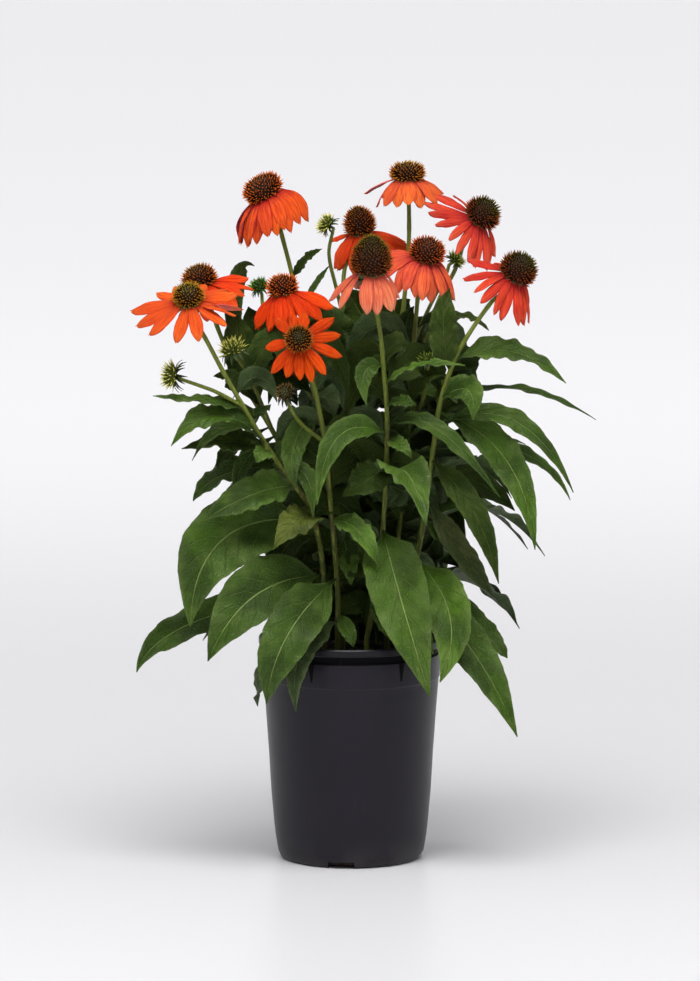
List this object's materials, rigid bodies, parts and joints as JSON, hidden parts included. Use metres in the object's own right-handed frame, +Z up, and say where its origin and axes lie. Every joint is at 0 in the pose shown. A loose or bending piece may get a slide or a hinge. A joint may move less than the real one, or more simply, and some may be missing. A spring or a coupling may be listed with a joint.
{
  "type": "potted coneflower",
  "caption": "Garden perennial with upright leafy stems, drooping orange ray flowers round domed brown cones, and closed buds, growing from soil in a tapered black nursery pot.",
  "frame": {"origin": "centre of the pot's underside, on the surface that it stands on", "axes": "+Z up; -Y the side shown in the picture, +X to the right as seen from there"},
  "size_m": [0.4105, 0.2919, 0.6311],
  "materials": {
    "pot": "satin near-black moulded plastic",
    "soil": "loose dark potting mix",
    "foliage": "rough green leaf with paler veins",
    "petal": "soft ribbed petal, orange to coral",
    "cone": "stiff spiky florets, rust over dark brown",
    "bud": "green pointed scales"
  },
  "bodies": {
    "root": {"pot": "pot", "soil": "soil", "stem_a": "foliage", "stem_b": "foliage", "stem_c": "foliage", "stem_d": "foliage", "stem_e": "foliage", "stem_f": "foliage", "stem_g": "foliage", "stem_h": "foliage", "stem_i": "foliage", "stem_j": "foliage", "stem_k": "foliage", "petals_a": "petal", "petals_b": "petal", "petals_c": "petal", "petals_d": "petal", "petals_e": "petal", "petals_f": "petal", "petals_g": "petal", "petals_h": "petal", "petals_i": "petal", "petals_j": "petal", "petals_k": "petal", "cone_a": "cone", "cone_b": "cone", "cone_c": "cone", "cone_d": "cone", "cone_e": "cone", "cone_f": "cone", "cone_g": "cone", "cone_h": "cone", "cone_i": "cone", "cone_j": "cone", "cone_k": "cone", "bud_1": "bud", "bud_2": "bud", "bud_3": "bud", "bud_4": "bud", "bud_5": "bud", "bud_6": "bud", "bud_7": "bud"}
  },
  "joints": []
}
